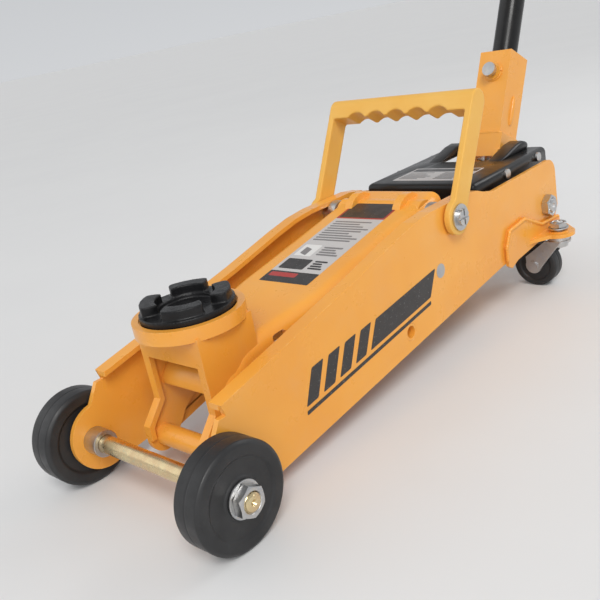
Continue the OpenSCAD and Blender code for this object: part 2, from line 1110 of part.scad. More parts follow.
module carry_screws() {
    y = outer_y;
    color(zinc)
        both_sides() {
            y_cyl(4, y, y + 8, pivot);
            y_cyl(11, y + 7.4, y + 8.8, pivot);
            difference() {
                y_cyl(7, y + 8.5, y + 12, pivot);
                translate([pivot[0] - 1, y + 10.5, pivot[1] - 10])
                    cube([2, 5, 20]);
                translate([pivot[0] - 10, y + 10.5, pivot[1] - 1])
                    cube([20, 5, 2]);
            }
        }
}

side_plate_left();
side_plate_right();
unit_cradle();
tie_tube();
front_axle();
axle_collars();
axle_washers();
axle_nuts();
front_wheel_left();
front_wheel_right();
castor_bracket_left();
castor_bracket_right();
castor_fork_left();
castor_fork_right();
castor_axle_left();
castor_axle_right();
castor_wheel_left();
castor_wheel_right();
castor_bolts();
arm_pivot_shaft();
arm_spacers();
lift_arm();
arm_hub();
horn_pin();
saddle_bracket();
head_pin();
rod_front_pin();
saddle();
radius_rod_left();
radius_rod_right();
rod_rear_pins();
unit_base();
unit_bolts();
reservoir();
ram_cylinder();
tank_nut();
filler_plug();
ram();
ram_yoke();
return_spring_left();
return_spring_right();
spring_studs();
pump_gland();
pump_piston();
pump_spring();
release_valve();
handle_socket();
pivot_bolts();
pivot_nuts();
pivot_spacers();
pump_roller();
handle_coupler();
clamp_screw();
lower_tube();
upper_tube();
hand_grip();
unit_cover();
cover_screws();
carry_handle();
carry_screws();
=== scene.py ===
"""Looks of the hydraulic floor jack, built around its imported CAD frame."""
import json
import math

import bmesh
import bpy
from mathutils import Matrix, Vector, noise


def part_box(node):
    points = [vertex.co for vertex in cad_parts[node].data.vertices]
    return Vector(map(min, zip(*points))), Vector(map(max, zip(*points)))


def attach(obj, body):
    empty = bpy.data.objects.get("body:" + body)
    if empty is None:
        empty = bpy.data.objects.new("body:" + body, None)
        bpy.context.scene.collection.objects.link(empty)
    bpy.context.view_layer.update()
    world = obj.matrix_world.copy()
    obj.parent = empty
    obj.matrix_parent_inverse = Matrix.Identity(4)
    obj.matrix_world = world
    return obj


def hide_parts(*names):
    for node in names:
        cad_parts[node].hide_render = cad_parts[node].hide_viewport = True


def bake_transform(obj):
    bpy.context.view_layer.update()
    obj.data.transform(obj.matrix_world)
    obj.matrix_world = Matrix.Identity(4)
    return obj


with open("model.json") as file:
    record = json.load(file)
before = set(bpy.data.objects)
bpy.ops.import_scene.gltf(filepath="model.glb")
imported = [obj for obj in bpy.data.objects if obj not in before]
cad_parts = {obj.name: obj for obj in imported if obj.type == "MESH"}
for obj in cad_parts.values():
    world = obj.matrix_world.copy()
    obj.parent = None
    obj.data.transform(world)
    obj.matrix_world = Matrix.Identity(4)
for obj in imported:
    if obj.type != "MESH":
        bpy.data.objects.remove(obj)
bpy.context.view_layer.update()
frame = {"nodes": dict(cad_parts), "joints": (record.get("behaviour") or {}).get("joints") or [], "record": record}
MM = 0.001
INK = "ink"                          # the face colours that printed vinyl shows

NODES = frame["nodes"]
JOINTS = {j["name"]: j for j in frame["joints"]}


def place(joint):
    """Where a joint turns, from the record."""
    return Vector(JOINTS[joint]["pos_m"])


def middle(node):
    """The centre of a CAD node's box."""
    low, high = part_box(node)
    return (low + high) / 2


PIVOT = place("arm_lift")            # lift arm's pivot
HEAD = place("saddle_level")         # pin between arm and saddle bracket
HUB = place("handle_pump")           # handle socket's pivot
UP_HANDLE = Vector(JOINTS["handle_removal"]["axis"]).normalized()
PLATE_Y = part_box("side_plate_left")[1].y
AXLE = Vector((place("front_wheel_left_roll").x, 0, place("front_wheel_left_roll").z))
ARM_SLOPE = math.radians(10.2)       # slope of the arm's top face
ARM_TOP = 13 * MM                    # the top face, over the line through the pivot
AXLE_R = (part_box("front_axle")[1].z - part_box("front_axle")[0].z) / 2
CORE = 0.2 * MM                      # how far a lathed outline stays off its own axis
NUT_FLATS = 19 * MM                  # across the flats of the axle's and the pivot's nuts
NOSE_R, EYE_R = 16 * MM, 20 * MM     # radii of the arm's two ends
PIVOT_BORE_R, HEAD_BORE_R = 8.05 * MM, 6.55 * MM
HANDLE_LENGTH = 0.7                  # from the socket's pivot to the grip's end
COVER_RISE = 16 * MM                 # the cover's top, over its lower edge


# ---- Materials ----

class Shader:
    """A node tree with a Principled shader, and short calls for the nodes that feed it."""

    def __init__(self, name, **sockets):
        self.material = bpy.data.materials.new(name)
        self.material.use_nodes = True
        self.tree = self.material.node_tree
        self.bsdf = self.tree.nodes["Principled BSDF"]
        self.point = self.tree.nodes.new("ShaderNodeTexCoord").outputs["Object"]
        self.bumps = None
        for socket, value in sockets.items():
            self.bsdf.inputs[socket.replace("_", " ")].default_value = value

    def link(self, source, target):
        self.tree.links.new(source, target)
        return source

    def node(self, kind, **inputs):
        made = self.tree.nodes.new(kind)
        for key, value in inputs.items():
            target = made.inputs[key]
            if isinstance(value, bpy.types.NodeSocket):
                self.link(value, target)
            else:
                target.default_value = value
        return made

    def stretched(self, scale):
        """The object's coordinates, scaled by three factors."""
        made = self.node("ShaderNodeMapping", Vector=self.point)
        made.inputs["Scale"].default_value = scale
        return made.outputs["Vector"]

    def noise(self, size, detail=4.0, roughness=0.55, vector=None):
        """Noise between 0 and 1, with features of about that size in metres."""
        made = self.node("ShaderNodeTexNoise", Vector=vector or self.point, Scale=1 / size)
        made.inputs["Detail"].default_value = detail
        made.inputs["Roughness"].default_value = roughness
        return made.outputs["Fac"]

    def levels(self, value, low, high, to_low=0.0, to_high=1.0):
        """Maps a value's range from low..high onto to_low..to_high."""
        made = self.node("ShaderNodeMapRange", Value=value)
        made.inputs["From Min"].default_value = low
        made.inputs["From Max"].default_value = high
        made.inputs["To Min"].default_value = to_low
        made.inputs["To Max"].default_value = to_high
        return made.outputs["Result"]

    def math(self, operation, a, b=0.0):
        made = self.tree.nodes.new("ShaderNodeMath")
        made.operation = operation
        for target, value in zip(made.inputs, (a, b)):
            if isinstance(value, bpy.types.NodeSocket):
                self.link(value, target)
            else:
                target.default_value = value
        return made.outputs["Value"]

    def mix(self, fac, a, b):
        """Colour a where fac is 0, and b where it is 1."""
        made = self.tree.nodes.new("ShaderNodeMix")
        made.data_type = "RGBA"
        for key, value in (("Factor", fac), ("A", a), ("B", b)):
            kind = "VALUE" if key == "Factor" else "RGBA"
            target = next(i for i in made.inputs if i.name == key and i.type == kind)
            if isinstance(value, bpy.types.NodeSocket):
                self.link(value, target)
            elif kind == "RGBA":
                target.default_value = (*value, 1)
            else:
                target.default_value = value
        return next(o for o in made.outputs if o.type == "RGBA")

    def edges(self, radius):
        """1 on sharp outer edges and 0 on flat faces."""
        rounded = self.node("ShaderNodeBevel", Radius=radius)
        rounded.samples = 4
        flat = self.tree.nodes.new("ShaderNodeNewGeometry").outputs["Normal"]
        dot = self.tree.nodes.new("ShaderNodeVectorMath")
        dot.operation = "DOT_PRODUCT"
        self.link(rounded.outputs["Normal"], dot.inputs[0])
        self.link(flat, dot.inputs[1])
        return self.levels(dot.outputs["Value"], 0.995, 0.90)

    def bump(self, height, distance, strength=1.0):
        """Adds a bump of that height, in metres, over those added before."""
        made = self.node("ShaderNodeBump", Height=height, Strength=strength, Distance=distance)
        if self.bumps:
            self.link(self.bumps, made.inputs["Normal"])
        self.bumps = made.outputs["Normal"]

    def finish(self, colour=None, roughness=None):
        if colour is not None:
            self.link(colour, self.bsdf.inputs["Base Color"])
        if roughness is not None:
            self.link(roughness, self.bsdf.inputs["Roughness"])
        if self.bumps:
            self.link(self.bumps, self.bsdf.inputs["Normal"])
        return self.material


DUST = (0.55, 0.50, 0.43)


def gloss_paint(name, base, deep, worn, dust=0.08, coat=0.28, shine=0.45):
    """Sprayed enamel: slow colour drift, orange peel, thin paint on the edges and dust.

    Noise sizes and bump heights are in metres, here and in the materials below.
    """
    s = Shader(name, Coat_Weight=coat, Coat_Roughness=0.12, Specular_IOR_Level=shine)
    drift = s.levels(s.noise(0.09, 3), 0.35, 0.65)
    colour = s.mix(drift, base, deep)
    speck = s.levels(s.noise(0.0016, 2), 0.68, 0.78, 0, 0.35)
    colour = s.mix(speck, colour, deep)
    chips = s.levels(s.noise(0.004, 5, 0.7), 0.52, 0.60)
    wear = s.math("MULTIPLY", s.edges(0.9 * MM), chips)
    colour = s.mix(s.math("MULTIPLY", wear, 0.55), colour, worn)
    film = s.levels(s.noise(0.035, 6, 0.65), 0.48, 0.80, 0, dust)
    colour = s.mix(film, colour, DUST)
    rough = s.levels(s.noise(0.02, 5), 0.3, 0.7, 0.24, 0.40)
    s.bump(s.noise(0.0028, 2), 0.00008, 0.5)
    s.bump(s.noise(0.012, 2), 0.0002, 0.3)
    return s.finish(colour, rough)


def plated(name, base, tint, warm, rough=(0.26, 0.46)):
    """Zinc plate: metal with clouds of tint and fine turning marks."""
    s = Shader(name, Metallic=1.0)
    clouds = s.levels(s.noise(0.012, 5, 0.6), 0.35, 0.65)
    colour = s.mix(clouds, base, tint)
    spots = s.levels(s.noise(0.003, 4), 0.58, 0.72, 0, 0.6)
    colour = s.mix(spots, colour, warm)
    grain = s.noise(0.0007, 3)
    roughness = s.levels(s.noise(0.006, 4), 0.3, 0.7, *rough)
    s.bump(grain, 0.00004, 0.5)
    return s.finish(colour, roughness)


def moulded(name, base, light, rough, grain=0.0009, height=0.00006, scuffs=0.25):
    """Moulded plastic or rubber: fine grain, soft scuffs and paler edges."""
    s = Shader(name, Specular_IOR_Level=0.45)
    drift = s.levels(s.noise(0.03, 4), 0.35, 0.7, 0, 0.5)
    colour = s.mix(drift, base, light)
    rub = s.levels(s.noise(0.008, 6, 0.75), 0.56, 0.66, 0, scuffs)
    colour = s.mix(rub, colour, light)
    edge = s.math("MULTIPLY", s.edges(0.8 * MM), 0.35)
    colour = s.mix(edge, colour, light)
    roughness = s.levels(s.noise(0.010, 5), 0.3, 0.7, *rough)
    s.bump(s.noise(grain, 3), height, 0.6)
    return s.finish(colour, roughness)


def cast(name, base, light, rough, metallic=0.0, shine=0.5):
    """Casting: sandy skin with shallow pits, rubbed on the edges."""
    s = Shader(name, Metallic=metallic, Specular_IOR_Level=shine)
    blotch = s.levels(s.noise(0.015, 5), 0.35, 0.65)
    colour = s.mix(blotch, base, light)
    edge = s.math("MULTIPLY", s.edges(1.0 * MM), s.levels(s.noise(0.005, 4), 0.4, 0.6))
    colour = s.mix(s.math("MULTIPLY", edge, 0.6), colour, [min(1, 3 * c) for c in light])
    roughness = s.levels(s.noise(0.006, 4), 0.3, 0.7, *rough)
    s.bump(s.noise(0.0022, 5, 0.7), 0.0004, 0.5)
    s.bump(s.noise(0.0007, 3), 0.0001, 0.5)
    return s.finish(colour, roughness)


def polished(name, base, smear):
    """Hard chrome, with an oil film along the stroke."""
    s = Shader(name, Metallic=1.0)
    streak = s.noise(0.01, 4, 0.6, s.stretched((0.12, 1, 1)))
    colour = s.mix(s.levels(streak, 0.45, 0.7, 0, 0.5), base, smear)
    roughness = s.levels(streak, 0.3, 0.7, 0.08, 0.22)
    s.bump(s.noise(0.0006, 2), 0.00001, 0.5)
    return s.finish(colour, roughness)


def printed(name):
    """Printed vinyl: ink colours held on the faces, with a satin film and rubbed ink."""
    s = Shader(name, Coat_Weight=0.25, Coat_Roughness=0.2)
    ink = s.tree.nodes.new("ShaderNodeAttribute")
    ink.attribute_name = INK
    rub = s.levels(s.noise(0.0018, 5, 0.7), 0.60, 0.72, 0, 0.35)
    colour = s.mix(rub, ink.outputs["Color"], (0.60, 0.59, 0.57))
    s.bump(s.noise(0.004, 3), 0.00004, 0.4)
    return s.finish(colour, s.levels(s.noise(0.01, 4), 0.3, 0.7, 0.30, 0.48))


YELLOW = (0.90, 0.405, 0.056)
YELLOW_DEEP = (0.85, 0.355, 0.042)
PALE_EDGE = (0.93, 0.62, 0.26)
MATERIALS = {
    "yellow_paint": gloss_paint("yellow_enamel", YELLOW, YELLOW_DEEP, PALE_EDGE),
    "black_paint": gloss_paint(
        "black_enamel", (0.006, 0.006, 0.0065), (0.010, 0.010, 0.0105), (0.10, 0.09, 0.09),
        dust=0.015, coat=0.15, shine=0.3
    ),
    "zinc": plated("zinc_plate", (0.62, 0.61, 0.59), (0.52, 0.53, 0.55), (0.62, 0.56, 0.45)),
    "yellow_zinc": plated(
        "yellow_chromate", (0.80, 0.68, 0.40), (0.72, 0.52, 0.30), (0.62, 0.66, 0.48), (0.2, 0.36)
    ),
    "unit_grey": cast(
        "unit_casting", (0.10, 0.10, 0.105), (0.15, 0.15, 0.155), (0.42, 0.62), 0.2
    ),
    "dark_steel": cast(
        "saddle_casting", (0.005, 0.005, 0.0055), (0.012, 0.012, 0.013), (0.24, 0.44), 0.0,
        shine=0.3
    ),
    "wheel_black": moulded(
        "wheel_nylon", (0.015, 0.015, 0.016), (0.045, 0.045, 0.046), (0.36, 0.55)
    ),
    "yellow_plastic": moulded(
        "handle_plastic", (0.82, 0.44, 0.075), (0.86, 0.52, 0.13), (0.34, 0.50), 0.0012, 0.00005,
        scuffs=0.15
    ),
    "grip_rubber": moulded(
        "grip_rubber", (0.016, 0.016, 0.017), (0.045, 0.045, 0.046), (0.62, 0.85), 0.0011, 0.00014
    ),
    "ram_chrome": polished("hard_chrome", (0.78, 0.78, 0.80), (0.50, 0.46, 0.40)),
}
PRINT = printed("printed_vinyl")
SLOT_OF = {p["node"]: p["material_slot"] for p in frame["record"]["subparts"]}


# ---- Mesh helpers ----

def added(name, data):
    """A new object, linked to the scene."""
    made = bpy.data.objects.new(name, data)
    bpy.context.scene.collection.objects.link(made)
    return made


def new_object(name, bm):
    mesh = bpy.data.meshes.new(name)
    bmesh.ops.recalc_face_normals(bm, faces=bm.faces)
    bm.to_mesh(mesh)
    bm.free()
    return added(name, mesh)


def applied(piece):
    """Turns the piece's modifiers into plain mesh."""
    bpy.context.view_layer.update()
    graph = bpy.context.evaluated_depsgraph_get()
    mesh = bpy.data.meshes.new_from_object(piece.evaluated_get(graph))
    piece.modifiers.clear()
    piece.data = mesh
    return piece


def smooth(piece, angle=35):
    """Smooth shading, split at edges sharper than the angle."""
    bm = bmesh.new()
    bm.from_mesh(piece.data)
    for face in bm.faces:
        face.smooth = True
    for edge in bm.edges:
        edge.smooth = len(edge.link_faces) == 2 and edge.calc_face_angle() < math.radians(angle)
    bm.to_mesh(piece.data)
    bm.free()
    return piece


def soften(piece, width, segments=2, limit=38):
    """Rounds the edges and evens the shading of the flat faces."""
    weld = piece.modifiers.new("weld", "WELD")
    weld.merge_threshold = 0.002 * MM
    bevel = piece.modifiers.new("bevel", "BEVEL")
    bevel.width = width
    bevel.segments = segments
    bevel.limit_method = "ANGLE"
    bevel.angle_limit = math.radians(limit)
    bevel.use_clamp_overlap = True
    even = piece.modifiers.new("normals", "WEIGHTED_NORMAL")
    even.keep_sharp = True
    return piece


def thickened(piece, thickness, even=False):
    """Gives a sheet its thickness, on the inner side."""
    wall = piece.modifiers.new("wall", "SOLIDIFY")
    wall.thickness = thickness
    wall.offset = -1
    wall.use_even_offset = even
    return applied(piece)


def rimmed(piece, width, segments, limit):
    """Rounds the edges that are sharper than limit degrees."""
    rim = piece.modifiers.new("rim", "BEVEL")
    rim.width = width
    rim.segments = segments
    rim.limit_method = "ANGLE"
    rim.angle_limit = math.radians(limit)
    return applied(piece)


def dress(piece, slot, body, *replaced):
    """Gives a new piece its material, slot, body and the CAD nodes it stands for."""
    piece.data.materials.clear()
    piece.data.materials.append(MATERIALS[slot])
    if replaced:
        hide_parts(*replaced)
    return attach(piece, body)


# ---- CAD nodes that stay ----

EDGE_WIDTH = {                       # in mm, where it isn't 0.4
    "side_plate_left": 1.3, "side_plate_right": 1.3, "castor_bracket_left": 1.0,
    "castor_bracket_right": 1.0, "saddle_bracket": 1.1, "handle_socket": 1.4, "unit_base": 1.2,
    "cover_screws": 0.3,
}


def carry_over():
    """Gives every CAD node its material and rounds its edges."""
    for name, piece in NODES.items():
        piece.data.materials.clear()
        piece.data.materials.append(MATERIALS[SLOT_OF[name]])
        soften(piece, EDGE_WIDTH.get(name, 0.4) * MM)


# ---- Building blocks ----

def around(count):
    """That many angles, evenly spread over a full turn."""
    return [2 * math.pi * k / count for k in range(count)]


def facing(axis):
    """The rotation that turns +Z to the axis."""
    return Vector(axis).to_track_quat("Z", "Y").to_matrix()


def ring(at, turn, radius, height, count):
    """Points of a circle about a turned axis through a point."""
    return [
        at + turn @ Vector((math.cos(a) * radius, math.sin(a) * radius, height))
        for a in around(count)
    ]


def sheet_grid(bm, rows, close_rows=False, close_ends=False):
    """Quads between rows of points.

    close_rows joins each row's ends, and close_ends the last row to the first.
    """
    made = [[bm.verts.new(p) for p in row] for row in rows]
    loop = made + [made[0]] if close_ends else made
    for a, b in zip(loop, loop[1:]):
        span = len(a) if close_rows else len(a) - 1
        for i in range(span):
            j = (i + 1) % len(a)
            bm.faces.new((a[i], a[j], b[j], b[i]))
    return made


def capped(bm, rows):
    """A skin over rings of points, closed at both ends."""
    made = sheet_grid(bm, rows, close_rows=True)
    bm.faces.new(made[0])
    bm.faces.new(made[-1])


def fillet(points, radius, steps=4):
    """Rounds the corners of a closed outline. radius is one number, or one for each corner."""
    radii = radius if isinstance(radius, (list, tuple)) else [radius] * len(points)
    made = []
    for i, corner in enumerate(points):
        before, corner, after = (Vector(points[k % len(points)]) for k in (i - 1, i, i + 1))
        reach = min(radii[i], (before - corner).length * 0.49, (after - corner).length * 0.49)
        if reach < 1e-7:
            made.append(corner)
            continue
        a = corner + (before - corner).normalized() * reach
        b = corner + (after - corner).normalized() * reach
        for k in range(steps + 1):
            t = k / steps
            made.append(a * (1 - t) ** 2 + corner * 2 * t * (1 - t) + b * t * t)
    return made


def lathe(bm, profile, at, axis, segments=96):
    """Turns a closed outline of (radius, distance along the axis) about an axis."""
    turn = facing(axis)
    rows = []
    for angle in around(segments):
        out = Vector((math.cos(angle), math.sin(angle), 0))
        rows.append([at + turn @ (out * r + Vector((0, 0, h))) for r, h in profile])
    sheet_grid(bm, rows, close_rows=True, close_ends=True)


def hex_nut(bm, at, axis, flats, height, bore, segments=72):
    """A nut with both faces chamfered, standing on a point and running along the axis."""
    turn = facing(axis)
    face_r = flats * 0.49
    chamfer = 0.8 * MM
    rows = []
    for angle in around(segments):
        side = (angle + math.pi / 6) % (math.pi / 3) - math.pi / 6
        corner = flats / 2 / math.cos(side)
        drop = (corner - face_r) * 0.55
        out = Vector((math.cos(angle), math.sin(angle), 0))
        outline = [
            (bore, 0.0), (face_r, 0.0), (corner, drop), (corner, height - drop), (face_r, height),
            (bore + chamfer, height), (bore, height - chamfer),
        ]
        rows.append([at + turn @ (out * r + Vector((0, 0, h))) for r, h in outline])
    sheet_grid(bm, rows, close_rows=True, close_ends=True)


def threaded_end(bm, at, axis, radius, length, pitch=1.5 * MM, segments=48):
    """A bolt's end: a helical thread, a chamfer and a centre hole."""
    turn = facing(axis)
    rows_per_turn = 6
    thread_depth = 0.44 * pitch
    chamfer = 1.2 * MM
    steps = int(length / pitch * rows_per_turn)
    rows = []
    for i in range(steps + 1):
        h = length * i / steps
        row = []
        for k, angle in enumerate(around(segments)):
            share = (h / pitch - k / segments) % 1
            fade = max(0.0, h - length + chamfer)
            r = radius - thread_depth * abs(2 * share - 1) - fade
            row.append(at + turn @ Vector((math.cos(angle) * r, math.sin(angle) * r, h)))
        rows.append(row)
    for r, h in ((0.34 * radius, length), (0.05 * radius, length - 0.35 * radius)):
        rows.append(ring(at, turn, r, h, segments))
    capped(bm, rows)


def tube_along(bm, points, radius, sides=8):
    """A round tube through the points. radius is one number, or one for each point."""
    radii = radius if isinstance(radius, list) else [radius] * len(points)
    rows, normal = [], None
    for i, p in enumerate(points):
        ahead = (points[min(i + 1, len(points) - 1)] - points[max(i - 1, 0)]).normalized()
        if normal is None:
            normal = ahead.orthogonal().normalized()
        normal = (normal - ahead * normal.dot(ahead)).normalized()
        side = ahead.cross(normal)
        rows.append([
            p + (normal * math.cos(a) + side * math.sin(a)) * radii[i] for a in around(sides)
        ])
    capped(bm, rows)


def prism(bm, outline, across):
    """A flat outline, thickened along a vector."""
    low = [bm.verts.new(p) for p in outline]
    high = [bm.verts.new(Vector(p) + across) for p in outline]
    bm.faces.new(low)
    bm.faces.new(list(reversed(high)))
    for i in range(len(low)):
        j = (i + 1) % len(low)
        bm.faces.new((low[i], low[j], high[j], high[i]))


def cut(piece, make_cutter):
    """Subtracts what make_cutter draws into a bmesh."""
    bm = bmesh.new()
    make_cutter(bm)
    cutter = new_object("cutter", bm)
    boolean = piece.modifiers.new("cut", "BOOLEAN")
    boolean.operation = "DIFFERENCE"
    boolean.solver = "EXACT"
    boolean.object = cutter
    applied(piece)
    bpy.data.objects.remove(cutter)
    return piece


def rod(bm, at, axis, radius, length, segments=32):
    """A plain round cutter that runs both ways from a point."""
    turn = facing(axis)
    capped(bm, [ring(at, turn, radius, h, segments) for h in (-length / 2, length / 2)])


def melted(name, node, voxel, passes):
    """The node's own shape with all edges melted round, as moulding and casting leave them."""
    piece = added(name, NODES[node].data.copy())
    remesh = piece.modifiers.new("remesh", "REMESH")
    remesh.mode = "VOXEL"
    remesh.voxel_size = voxel
    relax = piece.modifiers.new("relax", "SMOOTH")
    relax.factor = 0.5
    relax.iterations = passes
    return smooth(applied(piece), 80)


# ---- Wheels and axle ----

def wheel(name, node, body, bore, hub, axis):
    """A solid wheel: hub face, dished sides, rounded tread with a groove round its middle."""
    low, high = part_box(node)
    centre = (low + high) / 2
    half = abs((high - low).dot(Vector(axis))) / 2
    radius = (high - low).z / 2
    hub_face, dish = half - 0.5 * MM, half - 1.6 * MM
    side = [
        (bore, hub_face), (hub, hub_face), (hub + 1 * MM, dish), (radius * 0.70, dish),
        (radius * 0.75, half - 0.1 * MM), (radius * 0.93, half), (radius, half - radius * 0.055),
    ]
    groove = [(radius, 0.9 * MM), (radius - 0.35 * MM, 0)]
    outline = side + groove + [(r, -h) for r, h in reversed(side + groove[:1])]
    bm = bmesh.new()
    lathe(bm, fillet(outline, 0.9 * MM, 3), centre, axis, 120)
    dress(smooth(new_object(name, bm), 40), "wheel_black", body, node)


def wheels():
    front_hub, castor_hub = 13.5 * MM, 7 * MM
    castor_bore = 3.05 * MM
    for side in ("left", "right"):
        node = "front_wheel_" + side
        wheel("tyre_" + side, node, node, AXLE_R + 0.05 * MM, front_hub, (0, 1, 0))
        node = "castor_wheel_" + side
        wheel("castor_tyre_" + side, node, node, castor_bore, castor_hub, (1, 0, 0))


def front_axle():
    low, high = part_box("front_axle")
    nut_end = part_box("axle_nuts")[1].y
    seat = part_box("axle_washers")[1].y + 0.05 * MM
    thread = 14 * MM
    bm = bmesh.new()
    outline = [(CORE, low.y + thread), (AXLE_R, low.y + thread), (AXLE_R, high.y - thread),
               (CORE, high.y - thread)]
    lathe(bm, outline, AXLE, (0, 1, 0), 64)
    for way in (1, -1):
        start = AXLE + Vector((0, way * (high.y - thread), 0))
        threaded_end(bm, start, (0, way, 0), AXLE_R, thread)
    dress(smooth(new_object("axle_bar", bm), 40), "yellow_zinc", "chassis", "front_axle")
    bm = bmesh.new()
    for way in (1, -1):
        start = AXLE + Vector((0, way * seat, 0))
        hex_nut(bm, start, (0, way, 0), NUT_FLATS, nut_end - seat, AXLE_R)
    dress(smooth(new_object("axle_hex_nuts", bm), 28), "zinc", "chassis", "axle_nuts")


def pivot_nuts():
    nut_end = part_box("pivot_nuts")[1].y
    bolt_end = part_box("pivot_bolts")[1].y
    bolt_r = 7 * MM
    shank_start, shank_end = 16 * MM, PLATE_Y - 6 * MM
    bm = bmesh.new()
    for way in (1, -1):
        start = HUB + Vector((0, way * PLATE_Y, 0))
        hex_nut(bm, start, (0, way, 0), NUT_FLATS, nut_end - PLATE_Y, bolt_r)
    dress(smooth(new_object("socket_pivot_nuts", bm), 28), "zinc", "chassis", "pivot_nuts")
    bm = bmesh.new()
    for way in (1, -1):
        start = HUB + Vector((0, way * shank_end, 0))
        outline = [(CORE, shank_start), (bolt_r, shank_start), (bolt_r, shank_end),
                   (CORE, shank_end)]
        lathe(bm, outline, Vector((HUB.x, 0, HUB.z)), (0, way, 0), 48)
        threaded_end(bm, start, (0, way, 0), bolt_r, bolt_end - PLATE_Y + 6 * MM)
    dress(smooth(new_object("socket_pivot_bolts", bm), 40), "zinc", "chassis", "pivot_bolts")


def king_bolts():
    """The castors' vertical bolts: round head below, washer and nut above."""
    low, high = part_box("castor_bolts")
    stem = place("castor_left_swivel")
    nut_base = high.z - 5.6 * MM
    nut_flats, nut_height = 15 * MM, 4.6 * MM
    bolt_r, head_r, head_height = 5 * MM, 8 * MM, 4.6 * MM
    shank_core, shank_foot = 0.3 * MM, head_height - 0.3 * MM
    washer_r, washer_low, washer_high = 9.5 * MM, -1.4 * MM, -0.02 * MM
    washer_bore = bolt_r + 0.1 * MM
    bm = bmesh.new()
    for way in (1, -1):
        foot = Vector((stem.x, way * stem.y, low.z))
        head = fillet([(CORE, 0), (head_r, 0), (head_r, head_height), (CORE, head_height)],
                      [0, 1.6 * MM, 0.4 * MM, 0])
        lathe(bm, head, foot, (0, 0, 1), 48)
        shank_top = nut_base - low.z + 0.3 * MM
        shank = [(shank_core, shank_foot), (bolt_r, shank_foot), (bolt_r, shank_top),
                 (shank_core, shank_top)]
        lathe(bm, shank, foot, (0, 0, 1), 48)
        top = Vector((foot.x, foot.y, nut_base))
        washer = [(washer_bore, washer_low), (washer_r, washer_low), (washer_r, washer_high),
                  (washer_bore, washer_high)]
        lathe(bm, fillet(washer, [0, 0.3 * MM, 0.3 * MM, 0]), top, (0, 0, 1), 48)
        hex_nut(bm, top, (0, 0, 1), nut_flats, nut_height, bolt_r)
        threaded_end(bm, top, (0, 0, 1), bolt_r, high.z - nut_base)
    dress(smooth(new_object("castor_king_bolts", bm), 28), "zinc", "chassis", "castor_bolts")


# ---- Lift arm and saddle ----

def on_arm(x, y, z):
    """A point in the arm's own axes: origin at the pivot, +X along the top face to the saddle."""
    along = Vector((math.cos(ARM_SLOPE), 0, -math.sin(ARM_SLOPE)))
    above = Vector((math.sin(ARM_SLOPE), 0, math.cos(ARM_SLOPE)))
    return PIVOT + along * x + above * z + Vector((0, y, 0))


def ease(value, low, high):
    """A smooth step from 0 at low to 1 at high."""
    t = min(1, max(0, (value - low) / (high - low)))
    return t * t * (3 - 2 * t)


def arm_section(x, nose, wide, neck):
    """One cross-section of the pressed channel, from the left edge over the top to the right.

    nose is the head pin in the arm's axes. wide and neck are the half widths behind and in front.
    """
    half = wide + (neck - wide) * ease(x, 138 * MM, 212 * MM)
    heel = -19.8 * MM
    nose_top = nose.y + 15.8 * MM
    top = ARM_TOP
    slope_start = nose.x - 17 * MM
    if x > slope_start:
        top += (nose_top - ARM_TOP) * ease(x, slope_start, nose.x - 1 * MM)
    bottom = heel + (nose.y - NOSE_R - heel) * x / nose.x
    if x < 0:
        bottom = -math.sqrt(max(EYE_R ** 2 - x * x, 1e-9))
    if x > nose.x:
        rise = math.sqrt(max(NOSE_R ** 2 - (x - nose.x) ** 2, 1e-9))
        top, bottom = nose.y + rise, nose.y - rise
    shoulder_r = min(11 * MM, (top - bottom) * 0.6)
    left = [(-half, bottom + (top - shoulder_r - bottom) * i / 6) for i in range(6)]
    for i in range(9):
        a = math.pi / 2 * i / 8
        left.append((
            -half + shoulder_r * (1 - math.cos(a)), top - shoulder_r * (1 - math.sin(a))
        ))
    inner = half - shoulder_r
    crown = [(-inner + 2 * inner * i / 10, top) for i in range(1, 10)]
    return left + crown + [(-y, z) for y, z in reversed(left)]


def arm_stations(nose_x):
    """Where the arm's cross-sections lie: closest at the eye and at the nose, where it curves."""
    eye = [-20 + 3 * i for i in range(7)]
    body = [4 + 6 * i for i in range(20)] + [124 + 4 * i for i in range(24)]
    nose_start = nose_x - 18 * MM
    made = [s * MM for s in eye + body if s * MM < nose_start]
    nose_length = 33.9 * MM
    return made + [nose_start + nose_length * math.sin(math.pi / 2 * i / 10) for i in range(11)]


def lift_arm():
    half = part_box("lift_arm")[1].y
    gap = HEAD - PIVOT
    nose = Vector((
        gap.x * math.cos(ARM_SLOPE) - gap.z * math.sin(ARM_SLOPE),
        gap.x * math.sin(ARM_SLOPE) + gap.z * math.cos(ARM_SLOPE),
    ))
    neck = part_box("saddle_bracket")[1].y - 4.5 * MM
    rows = [
        [on_arm(x, y, z) for y, z in arm_section(x, nose, half, neck)]
        for x in arm_stations(nose.x)
    ]
    bm = bmesh.new()
    sheet_grid(bm, rows)
    piece = thickened(new_object("arm_pressing", bm), 4 * MM, even=True)
    rimmed(piece, 0.8 * MM, 2, 50)

    def bores(cutter):
        """The pivot's and the head pin's holes, and the slot through both cheeks."""
        clear = 70 * MM              # beyond the cheeks, to either side
        rod(cutter, PIVOT, (0, 1, 0), PIVOT_BORE_R, 3 * clear)
        rod(cutter, HEAD, (0, 1, 0), HEAD_BORE_R, 3 * clear)
        slot = []
        for end_x, first in ((192 * MM, -math.pi / 2), (186 * MM, math.pi / 2)):
            for i in range(9):
                a = first + math.pi * i / 8
                x = end_x + 3 * MM * math.cos(a)
                slot.append(on_arm(x, -clear, 3 * MM + 3.4 * MM * math.sin(a)))
        prism(cutter, slot, Vector((0, 2 * clear, 0)))
    cut(piece, bores)
    dress(smooth(piece, 45), "yellow_paint", "lift_arm", "lift_arm")


